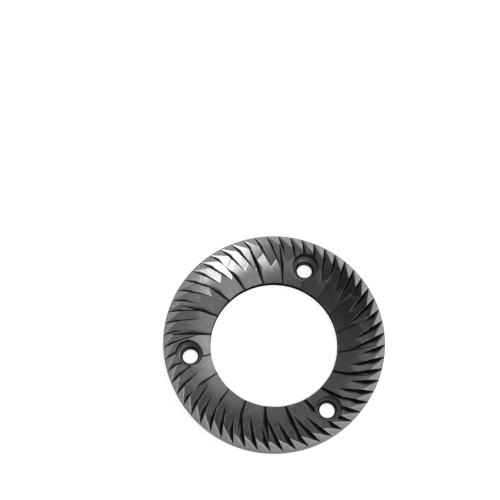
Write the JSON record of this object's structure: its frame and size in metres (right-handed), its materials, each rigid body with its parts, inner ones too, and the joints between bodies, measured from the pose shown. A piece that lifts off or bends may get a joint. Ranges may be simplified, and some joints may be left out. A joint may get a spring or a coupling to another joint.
{
  "type": "coffee grinder burr",
  "caption": "Flat ring-shaped grinding burr with slanted finishing teeth out to the rim, coarse breaking grooves opening into the bore and countersunk screw holes.",
  "frame": {"origin": "centre of the back face, on the ring's axis", "axes": "+Z along the axis towards the teeth, +Y through one screw hole"},
  "size_m": [0.064, 0.064, 0.0066],
  "materials": {
    "hardened_steel": "dark satin, ground"
  },
  "bodies": {
    "root": {"burr": "hardened_steel"}
  },
  "joints": []
}
